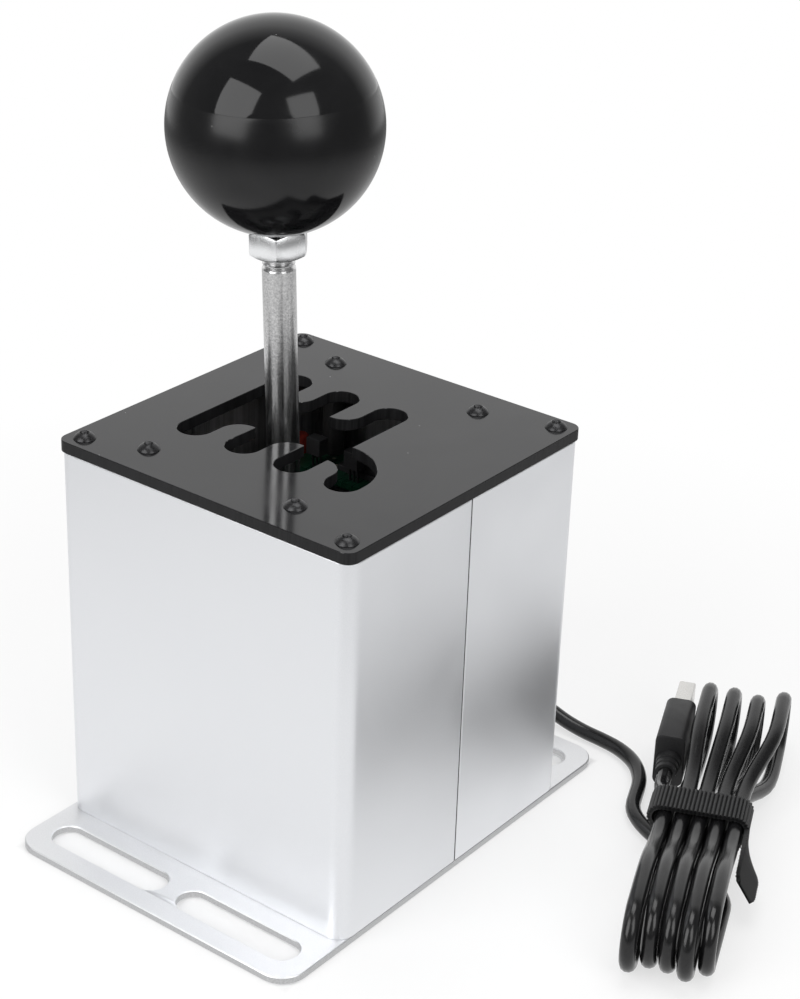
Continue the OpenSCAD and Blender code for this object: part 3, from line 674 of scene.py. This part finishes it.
# Ground rod with chamfered foot, thread run-out under the nut and rolled thread above
def rod():
    steps = [(3.6, ROD_FOOT), (ROD_R, ROD_FOOT + 0.4), (ROD_R, NUT_AT - 3.75),
             (3.72, NUT_AT - 3.4), (3.35, NUT_AT - 3.25)]
    z = NUT_AT - 3.0
    while z < ROD_TOP - 1.3:
        steps += [(ROOT_R, z), (THREAD_R, z + 0.5), (THREAD_R, z + 0.66), (ROOT_R, z + 1.15)]
        z += THREAD_PITCH
    steps += [(ROOT_R, ROD_TOP - 0.2), (3.2, ROD_TOP)]
    piece = turned("gear_rod", steps, 72)
    stand_on_pivot(piece)
    smooth(piece, 25)
    return piece


# Strain relief with rings, in the far wall
def boot():
    steps = [(5.6, 40.5), (5.6, 42.5), (3.75, 42.5), (3.75, 45.0), (5.4, 45.0), (5.6, 45.2),
             (5.6, 46.2), (5.3, 46.5), (3.8, 46.55), (3.75, 47.5), (3.2, 47.6), (3.2, 48.1),
             (3.55, 48.2), (3.4, 49.1), (2.95, 49.2), (2.95, 49.7), (3.2, 49.8), (3.05, 50.7),
             (2.7, 50.8), (2.7, 51.2), (2.85, 51.3), (2.75, 52.0), (2.1, 52.0)]
    piece = turned("lead_strain_relief", steps, 40)
    apply_place(piece, (BOOT_END[0], 0, BOOT_END[2]), (-90, 0, 0))
    smooth(piece)
    return piece


def inside_lead():
    points = [(8, 40.5, 10), (8, 37.5, 10), (8, 34.6, 15), (8, 33.6, 22), (8, 33.6, 34),
              (8, 33.6, 61.4), (8, 33.6, 73.4)]
    route = rounded_route(points, 6, (8, 43.5, 10), (8, 33.6, 80)) + [points[-1]]
    return tube("lead_inside", route, INNER_R)


# Centring springs between the bracket's foot and the ring: wire wound in the place of the solid
def centring_spring(node):
    low, high = (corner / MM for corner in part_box(node))
    coil_r = (high.x - low.x) / 2 - SPRING_WIRE_R
    x, z0, z1 = (low.x + high.x) / 2, SPRING_FOOT + SPRING_WIRE_R, SPRING_TOP - SPRING_WIRE_R
    steps = SPRING_STEPS * SPRING_TURNS
    route = []
    for i in range(steps + 1):
        a = 2 * math.pi * SPRING_TURNS * i / steps
        route.append((x + coil_r * math.cos(a), coil_r * math.sin(a), mix(z0, z1, i / steps)))
    piece = tube(node + "_wire", route, SPRING_WIRE_R, 3)
    dress(piece, SLOT_OF[node])
    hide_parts(node)
    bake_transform(piece)


# Nodes that finishes, floor and room are put together from
def ranged(tree, value, low, high, to_low, to_high):
    made = tree.nodes.new("ShaderNodeMapRange")
    made.clamp = True
    for label, number in (("From Min", low), ("From Max", high),
                          ("To Min", to_low), ("To Max", to_high)):
        made.inputs[label].default_value = number
    tree.links.new(value, made.inputs["Value"])
    return made.outputs["Result"]


def math_node(tree, operation, first, second=None):
    made = tree.nodes.new("ShaderNodeMath")
    made.operation = operation
    tree.links.new(first, made.inputs[0])
    if isinstance(second, float):
        made.inputs[1].default_value = second
    elif second is not None:
        tree.links.new(second, made.inputs[1])
    return made.outputs["Value"]


def vector_node(tree, operation, first):
    made = tree.nodes.new("ShaderNodeVectorMath")
    made.operation = operation
    tree.links.new(first, made.inputs[0])
    return made


def along(tree, place, axis):
    made = vector_node(tree, "DOT_PRODUCT", place)
    made.inputs[1].default_value = axis
    return made.outputs["Value"]


def split_place(tree, place):
    made = tree.nodes.new("ShaderNodeSeparateXYZ")
    tree.links.new(place, made.inputs["Vector"])
    return made.outputs


def noise_node(tree, place, **values):
    made = tree.nodes.new("ShaderNodeTexNoise")
    for label, value in values.items():
        made.inputs[label].default_value = value
    tree.links.new(place, made.inputs["Vector"])
    return made


def mixed_shaders(tree, share, first, second, output):
    blend = tree.nodes.new("ShaderNodeMixShader")
    tree.links.new(share, blend.inputs["Fac"])
    tree.links.new(first, blend.inputs[1])
    tree.links.new(second, blend.inputs[2])
    tree.links.new(blend.outputs["Shader"], tree.nodes[output].inputs["Surface"])


# Shared surface effects, each built once
def new_group(name, output, **inputs):
    group = bpy.data.node_groups.new(name, "ShaderNodeTree")
    group.interface.new_socket(name="Place", in_out="INPUT", socket_type="NodeSocketVector")
    for label, value in inputs.items():
        kind = "NodeSocketFloat" if isinstance(value, float) else "NodeSocketVector"
        made = group.interface.new_socket(name=label, in_out="INPUT", socket_type=kind)
        made.default_value = value
    group.interface.new_socket(name=output, in_out="OUTPUT", socket_type="NodeSocketFloat")
    come = group.nodes.new("NodeGroupInput").outputs
    go = group.nodes.new("NodeGroupOutput").inputs
    return group, come, go[output]


def noise_group(name, output, scale, low, high, **values):
    group, come, go = new_group(name, output, Scale=scale)
    noise = noise_node(group, come["Place"], **values)
    group.links.new(come["Scale"], noise.inputs["Scale"])
    group.links.new(ranged(group, noise.outputs["Fac"], low, high, 0, 1), go)
    return group


def tool_line_group():
    group, come, go = new_group("tool_lines", "Line", Stretch=(2500.0, 2500.0, 60.0))
    drawn = vector_node(group, "MULTIPLY", come["Place"])
    group.links.new(come["Stretch"], drawn.inputs[1])
    noise = noise_node(group, drawn.outputs["Vector"], Scale=1.0, Detail=2.0)
    group.links.new(ranged(group, noise.outputs["Fac"], 0.32, 0.68, 0, 1), go)
    return group


def dust_group():
    group, come, go = new_group("dust_specks", "Dust", Scale=220.0, Size=0.03)
    cells = group.nodes.new("ShaderNodeTexVoronoi")
    group.links.new(come["Place"], cells.inputs["Vector"])
    group.links.new(come["Scale"], cells.inputs["Scale"])
    near = math_node(group, "LESS_THAN", cells.outputs["Distance"], come["Size"])
    split = group.nodes.new("ShaderNodeSeparateColor")
    group.links.new(cells.outputs["Color"], split.inputs["Color"])
    few = math_node(group, "GREATER_THAN", split.outputs["Red"], 0.72)
    group.links.new(math_node(group, "MULTIPLY", near, few), go)
    return group


GRAIN = noise_group("fine_grain", "Grain", 5000.0, 0.3, 0.7, Detail=2.5, Roughness=0.6)
SMUDGE = noise_group("handling_smudge", "Smudge", 40.0, 0.35, 0.7,
                     Detail=5.0, Roughness=0.55, Distortion=0.6)
TOOL_LINES = tool_line_group()
DUST = dust_group()


# Finishes: a mask over the surface gives colour, roughness and relief
class Finish:
    def __init__(self, name, colour, rough, metal=0.0):
        self.material = bpy.data.materials.new(name)
        self.material.use_nodes = True
        self.material.diffuse_color = (*colour, 1)
        self.tree = self.material.node_tree
        self.shader = self.tree.nodes["Principled BSDF"]
        self.shader.inputs["Base Color"].default_value = (*colour, 1)
        self.shader.inputs["Roughness"].default_value = rough
        self.shader.inputs["Metallic"].default_value = metal
        self.place = self.tree.nodes.new("ShaderNodeTexCoord").outputs["Object"]

    def effect(self, group, output, **values):
        made = self.tree.nodes.new("ShaderNodeGroup")
        made.node_tree = group
        for label, value in values.items():
            made.inputs[label].default_value = value
        self.tree.links.new(self.place, made.inputs["Place"])
        return made.outputs[output]

    def colours(self, mask, first, second, base=None):
        made = self.tree.nodes.new("ShaderNodeMix")
        made.data_type = "RGBA"
        made.inputs[6].default_value = (*first, 1)
        made.inputs[7].default_value = (*second, 1)
        if base is not None:
            self.tree.links.new(base, made.inputs[6])
        self.tree.links.new(mask, made.inputs[0])
        self.tree.links.new(made.outputs[2], self.shader.inputs["Base Color"])
        return made.outputs[2]

    def roughness(self, mask, low, high):
        rough = ranged(self.tree, mask, 0, 1, low, high)
        self.tree.links.new(rough, self.shader.inputs["Roughness"])

    def relief(self, mask, depth, strength=1.0):
        made = self.tree.nodes.new("ShaderNodeBump")
        made.inputs["Distance"].default_value = depth * MM
        made.inputs["Strength"].default_value = strength
        self.tree.links.new(mask, made.inputs["Height"])
        self.tree.links.new(made.outputs["Normal"], self.shader.inputs["Normal"])


# Painted shade in the joint between the two shells: its inside is darkened, above the base plate
# and behind their bright lips
def joint_painted_shade_mask(f):
    at = split_place(f.tree, f.place)
    x, y = (math_node(f.tree, "ABSOLUTE", at[axis]) for axis in "XY")
    near = ranged(f.tree, y, JOINT_SHADE_HALF[0] * MM, JOINT_SHADE_HALF[1] * MM, 1, 0)
    above = ranged(f.tree, at["Z"], BASE_TOP * MM, (BASE_TOP + 0.1) * MM, 0, 1)
    deep = ranged(f.tree, x, (BOX_HALF - JOINT_SHADE_DEEP[0]) * MM, (BOX_HALF - JOINT_SHADE_DEEP[1]) * MM, 1, 0)
    return math_node(f.tree, "MULTIPLY", math_node(f.tree, "MULTIPLY", near, above), deep)


def satin_aluminium():
    f = Finish("satin_aluminium", (0.9, 0.911, 0.935), 0.46, 1.0)
    grain = f.effect(GRAIN, "Grain", Scale=5200.0)
    base = f.colours(grain, (0.87, 0.882, 0.906), (0.93, 0.941, 0.963))
    # The inside of the joint between the shells is darkened here as painted shade
    f.colours(joint_painted_shade_mask(f), (0, 0, 0), (0.11, 0.11, 0.115), base)
    f.roughness(f.effect(SMUDGE, "Smudge", Scale=28.0), 0.44, 0.52)
    f.relief(grain, 0.012, 0.35)
    return f.material


def black_acrylic():
    f = Finish("black_acrylic", (0.013, 0.013, 0.014), 0.11)
    f.shader.inputs["IOR"].default_value = 1.47
    smudge = f.effect(SMUDGE, "Smudge", Scale=34.0)
    base = f.colours(smudge, (0.010, 0.010, 0.011), (0.017, 0.017, 0.018))
    f.colours(f.effect(DUST, "Dust", Scale=260.0, Size=0.035), (0, 0, 0), (0.3, 0.3, 0.31), base)
    f.roughness(smudge, 0.08, 0.17)
    return f.material


# A metal whose tone is in its grain and whose shine is in its smudges
def plated(name, dark, light, low, high, scale=3800.0, smudge=260.0, depth=0.004, strength=0.25):
    f = Finish(name, light, low, 1.0)
    grain = f.effect(GRAIN, "Grain", Scale=scale)
    f.colours(grain, dark, light)
    f.roughness(f.effect(SMUDGE, "Smudge", Scale=smudge), low, high)
    f.relief(grain, depth, strength)
    return f.material


# A surface whose tone and shine are both in its grain
def grained(name, dark, light, low, high, scale, depth, strength, metal=0.0, gloss=0.5):
    f = Finish(name, light, low, metal)
    f.shader.inputs["Specular IOR Level"].default_value = gloss
    grain = f.effect(GRAIN, "Grain", Scale=scale)
    f.colours(grain, dark, light)
    f.roughness(grain, low, high)
    f.relief(grain, depth, strength)
    return f.material


# A surface with the lines that a tool or a die leaves
def tooled(name, dark, light, low, high, stretch, depth=0.008, metal=1.0, gloss=0.5):
    f = Finish(name, light, low, metal)
    f.shader.inputs["Specular IOR Level"].default_value = gloss
    line = f.effect(TOOL_LINES, "Line", Stretch=stretch)
    f.colours(line, dark, light)
    f.roughness(line, low, high)
    f.relief(line, depth, 0.4)
    return f.material


def moulded(name, dark, light, low, high, scale=2600.0, depth=0.02, gloss=0.5):
    f = Finish(name, light, low)
    f.shader.inputs["Specular IOR Level"].default_value = gloss
    grain = f.effect(GRAIN, "Grain", Scale=scale)
    f.colours(grain, dark, light)
    f.roughness(f.effect(SMUDGE, "Smudge", Scale=130.0), low, high)
    f.relief(grain, depth, 0.45)
    return f.material


def ground_rod():
    f = Finish("ground_rod_steel", (0.6, 0.6, 0.605), 0.28, 1.0)
    f.shader.inputs["Anisotropic"].default_value = 0.75
    f.shader.inputs["Anisotropic Rotation"].default_value = 0.25
    speck = f.effect(GRAIN, "Grain", Scale=1900.0)
    f.colours(speck, (0.5, 0.5, 0.505), (0.8, 0.8, 0.8))
    f.roughness(f.effect(TOOL_LINES, "Line", Stretch=(2600.0, 2600.0, 90.0)), 0.18, 0.26)
    f.relief(speck, 0.012, 0.5)
    return f.material


# Dulling under the ball's parting line, which fades towards its flat, along the lever's own axis
def below_line_mask(f):
    lean = math.radians(LEAN)
    axis = Vector((0, -math.sin(lean), math.cos(lean)))
    height = along(f.tree, f.place, axis)
    line = (PIVOT.dot(axis) + BALL_AT + BALL_LINE) * MM
    below = ranged(f.tree, height, line - 0.03 * MM, line + 0.03 * MM, 1, 0)
    fade = ranged(f.tree, height, line - 24 * MM, line - 6 * MM, 0.08, 1)
    return math_node(f.tree, "MULTIPLY", below, fade)


def polished_black():
    f = Finish("polished_black_ball", (0.006, 0.006, 0.007), 0.06)
    f.shader.inputs["IOR"].default_value = 1.4
    smudge = f.effect(SMUDGE, "Smudge", Scale=60.0)
    base = f.colours(smudge, (0.005, 0.005, 0.0055), (0.009, 0.009, 0.0095))
    f.colours(f.effect(DUST, "Dust", Scale=330.0, Size=0.03), (0, 0, 0), (0.25, 0.25, 0.25), base)
    polish = ranged(f.tree, smudge, 0, 1, 0.05, 0.13)
    dulled = ranged(f.tree, below_line_mask(f), 0, 1, 0, 0.15)
    f.tree.links.new(math_node(f.tree, "ADD", polish, dulled), f.shader.inputs["Roughness"])
    return f.material


def circuit_board():
    f = Finish("solder_mask_green", (0.006, 0.04, 0.02), 0.3)
    track = f.effect(TOOL_LINES, "Line", Stretch=(1100.0, 90.0, 90.0))
    base = f.colours(track, (0.002, 0.02, 0.011), (0.008, 0.05, 0.026))
    f.colours(f.effect(DUST, "Dust", Scale=330.0, Size=0.2), (0, 0, 0), (0.3, 0.28, 0.23), base)
    f.roughness(track, 0.24, 0.38)
    f.relief(track, 0.03, 0.4)
    return f.material


# The finish of each material slot, from dark to light and from its least to its most rough
FINISHES = {
    "aluminium_satin": satin_aluminium(),
    "machined_aluminium": tooled("machined_aluminium", (0.6, 0.61, 0.62), (0.77, 0.78, 0.79),
                                 0.26, 0.42, (90.0, 3200.0, 3200.0), 0.01),
    "gate_acrylic": black_acrylic(),
    "black_screw": grained("black_oxide_steel", (0.018, 0.018, 0.019), (0.05, 0.05, 0.052),
                           0.24, 0.36, 3600.0, 0.008, 0.4, 0.6),
    "zinc_screw": plated("zinc_plated_screw", (0.56, 0.56, 0.57), (0.68, 0.68, 0.7), 0.28, 0.42),
    "nylon_black": moulded("nylon_standoff", (0.012, 0.012, 0.012), (0.026, 0.026, 0.027),
                           0.45, 0.6),
    "brass_part": tooled("turned_brass", (0.56, 0.4, 0.16), (0.78, 0.6, 0.28), 0.24, 0.38,
                         (2400.0, 2400.0, 120.0)),
    "board_green": circuit_board(),
    "chip_black": moulded("moulded_chip", (0.012, 0.012, 0.013), (0.03, 0.03, 0.032), 0.5, 0.68),
    "capacitor_red": moulded("red_lacquer", (0.16, 0.014, 0.01), (0.26, 0.03, 0.02), 0.18, 0.32),
    "capacitor_orange": moulded("orange_lacquer", (0.34, 0.11, 0.015), (0.48, 0.19, 0.03),
                                0.18, 0.32),
    "header_white": moulded("white_header", (0.74, 0.73, 0.69), (0.86, 0.85, 0.82), 0.4, 0.55),
    "pin_steel": tooled("ground_pin_steel", (0.46, 0.47, 0.49), (0.62, 0.63, 0.65), 0.16, 0.3,
                        (300.0, 2600.0, 2600.0)),
    "hub_steel": tooled("turned_hub_steel", (0.36, 0.37, 0.39), (0.52, 0.53, 0.55), 0.26, 0.42,
                        (400.0, 400.0, 3000.0)),
    "rod_steel": ground_rod(),
    "spring_steel": tooled("drawn_spring_wire", (0.42, 0.44, 0.47), (0.57, 0.59, 0.62), 0.22, 0.36,
                           (1500.0, 1500.0, 1500.0)),
    "bronze_washer": moulded("sintered_bronze", (0.5, 0.38, 0.2), (0.68, 0.56, 0.34), 0.45, 0.62,
                             4200.0),
    "magnet_grey": moulded("sintered_magnet", (0.12, 0.12, 0.125), (0.23, 0.23, 0.24), 0.4, 0.6,
                           4200.0),
    "nut_zinc": plated("bright_zinc_nut", (0.92, 0.93, 0.945), (0.96, 0.967, 0.975), 0.2, 0.32),
    "knob_black": polished_black(),
    "cable_black": moulded("cable_vinyl", (0.004, 0.004, 0.0044), (0.009, 0.009, 0.0095),
                           0.15, 0.26, 1500.0, 0.016, 0.45),
    "strap_black": grained("ribbed_strap", (0.003, 0.003, 0.0033), (0.014, 0.014, 0.0147),
                           0.36, 0.52, 4200.0, 0.05, 0.6, gloss=0.45),
    "plug_black": moulded("plug_moulding", (0.01, 0.01, 0.0105), (0.02, 0.02, 0.021), 0.4, 0.54,
                          gloss=0.4),
    "plug_metal": plated("nickel_plate", (0.66, 0.65, 0.63), (0.74, 0.73, 0.71), 0.22, 0.34),
}
SLOT_OF = {part["node"]: part["material_slot"] for part in frame["record"]["subparts"]}

# Finishes with no slot of their own: base plate, its rim, the gate's cut edge, the shells' inside
SHEET = plated("blasted_aluminium_sheet", (0.8, 0.807, 0.822), (0.86, 0.866, 0.878), 0.44, 0.51,
               3600.0, 30.0, 0.014, 0.35)
# Base plate's rim: a rough sheared edge, whose colour darker than the sheet is painted shade on its
# upright faces
SHEET_RIM_PAINTED_SHADE = grained("sheared_edge_painted_shade", (0.5, 0.503, 0.51), (0.67, 0.673, 0.68), 0.42, 0.58,
                    2400.0, 0.03, 0.5, 1.0)
CUT_EDGE = tooled("laser_cut_edge", (0.006, 0.006, 0.0065), (0.016, 0.016, 0.017), 0.4, 0.58,
                  (2200.0, 2200.0, 60.0), 0.012, 0.0, 0.22)
# Shells' inside: a rough, tool-lined surface whose darker colour is painted shade inside the
# housing
INSIDE_PAINTED_SHADE = tooled("raw_inside_painted_shade", (0.2, 0.2, 0.206), (0.34, 0.34, 0.35), 0.52, 0.68,
                (1800.0, 1800.0, 40.0), 0.015)


def dress(piece, slot):
    piece.data.materials.clear()
    piece.data.materials.append(FINISHES[slot])


# A second finish on the faces that a rule picks by centre and normal
def second_finish(piece, material, wanted):
    piece.data.materials.append(material)
    for face in piece.data.polygons:
        face.material_index = 1 if wanted(face.center / MM, face.normal) else 0


def upright(centre, normal):
    return abs(normal.z) < 0.3


def inside_shell(centre, normal):
    return max(abs(centre.x), abs(centre.y)) < BOX_INSIDE


def fit(piece, body, *stands_for):
    dress(piece, SLOT_OF[stands_for[0]])
    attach(piece, body)
    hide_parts(*stands_for)
    return piece


# Studio: a pale round floor that glows white to the camera, but not under the base plate
def studio_floor():
    nothing_selected()
    bpy.ops.mesh.primitive_circle_add(vertices=96, radius=FLOOR_R, fill_type="NGON",
                                      location=(0, 0, -FLOOR_DROP))
    floor = named("studio_floor")
    material = bpy.data.materials.new("pale_floor")
    material.use_nodes = True
    tree = material.node_tree
    shader = tree.nodes["Principled BSDF"]
    shader.inputs["Base Color"].default_value = (0.9, 0.9, 0.9, 1)
    shader.inputs["Roughness"].default_value = 0.8
    shader.inputs["Specular IOR Level"].default_value = 0.1
    glow = tree.nodes.new("ShaderNodeEmission")
    path = tree.nodes.new("ShaderNodeLightPath").outputs
    place = tree.nodes.new("ShaderNodeTexCoord").outputs["Object"]
    out = vector_node(tree, "LENGTH", place).outputs["Value"]
    at = split_place(tree, place)
    x, y = (math_node(tree, "ABSOLUTE", at[axis]) for axis in "XY")
    past_side = ranged(tree, x, (BASE_HALF_X - 1) * MM, BASE_HALF_X * MM, 0, 1)
    past_end = ranged(tree, y, (BASE_HALF_Y - 1) * MM, BASE_HALF_Y * MM, 0, 1)
    past_base = math_node(tree, "MAXIMUM", past_side, past_end)
    in_view = math_node(tree, "MULTIPLY", ranged(tree, out, *SEEN_GLOW), past_base)
    view = math_node(tree, "MULTIPLY", path["Is Camera Ray"], in_view)
    mirrored = math_node(tree, "ADD", path["Is Glossy Ray"], path["Is Transmission Ray"])
    share = math_node(tree, "ADD", view, ranged(tree, mirrored, 0, 1, 0, MIRRORED_SHARE))
    in_gloss = ranged(tree, out, *MIRRORED_GLOW)
    strength = math_node(tree, "MAXIMUM", path["Is Camera Ray"], in_gloss)
    tree.links.new(strength, glow.inputs["Strength"])
    mixed_shaders(tree, share, shader.outputs["BSDF"], glow.outputs["Emission"], "Material Output")
    floor.data.materials.append(material)


# White to the camera, and a dim room with a bright backdrop to everything else
def studio_world():
    world = bpy.data.worlds.new("studio")
    scene.world = world
    world.use_nodes = True
    tree = world.node_tree
    room = tree.nodes["Background"]
    white = tree.nodes.new("ShaderNodeBackground")
    for paint in (room, white):
        paint.inputs["Color"].default_value = (1, 1, 1, 1)
    way = tree.nodes.new("ShaderNodeTexCoord").outputs["Generated"]
    bright = ranged(tree, along(tree, way, BACKDROP_WAY), *ROOM_GLOW)
    tree.links.new(bright, room.inputs["Strength"])
    seen = tree.nodes.new("ShaderNodeLightPath").outputs["Is Camera Ray"]
    mixed_shaders(tree, seen, room.outputs["Background"], white.outputs["Background"],
                  "World Output")


def soft_box(name, way, width, height, radiance, turn):
    light = bpy.data.lights.new(name, "AREA")
    light.shape = "RECTANGLE"
    light.size = width
    light.size_y = height
    light.energy = radiance * math.pi * width * height
    lamp = bpy.data.objects.new(name, light)
    way = Vector(way).normalized()
    lamp.location = Vector(LIT_POINT) + way * SOFT_BOX_AWAY
    facing = way.to_track_quat("Z", "Y").to_matrix() @ Matrix.Rotation(math.radians(turn), 3, "Z")
    lamp.rotation_euler = facing.to_euler()
    scene.collection.objects.link(lamp)


def build():
    set_camera()
    route = cable_route()
    cable = fit(tube("usb_cable", route, CABLE_R), "housing", "usb_lead", "lead_hank")
    strap = fit(hank_strap(), "housing", "hank_tie")
    moulding = fit(plug_moulding(), "housing", "plug_body")
    tongue = fit(plug_tongue(), "housing", "plug_shell")
    fit(boot(), "housing", "lead_boot")
    fit(inside_lead(), "housing", "inner_lead")
    fit(ball(), "lever", "ball_knob")
    fit(rod(), "lever", "lever_rod")
    for node, (width, body) in EDGE_BREAKS.items():
        piece = fit(edge_broken(node, width), body, node)
        if node == "base_plate":
            piece.data.materials[0] = SHEET
            # The base plate's upright faces get the darker rim finish that paints their shade
            second_finish(piece, SHEET_RIM_PAINTED_SHADE, upright)
        elif node == "gate_plate":
            second_finish(piece, CUT_EDGE, upright)
        elif node in ("near_shell", "far_shell"):
            # The shells' inside faces get the darker finish that paints the shade inside the
            # housing
            second_finish(piece, INSIDE_PAINTED_SHADE, inside_shell)
    for node in ("left_spring", "right_spring"):
        centring_spring(node)
    for node, shown in nodes.items():
        if not shown.hide_render:
            dress(shown, SLOT_OF[node])
    studio_floor()
    studio_world()
    for box in SOFT_BOXES:
        soft_box(*box)


build()
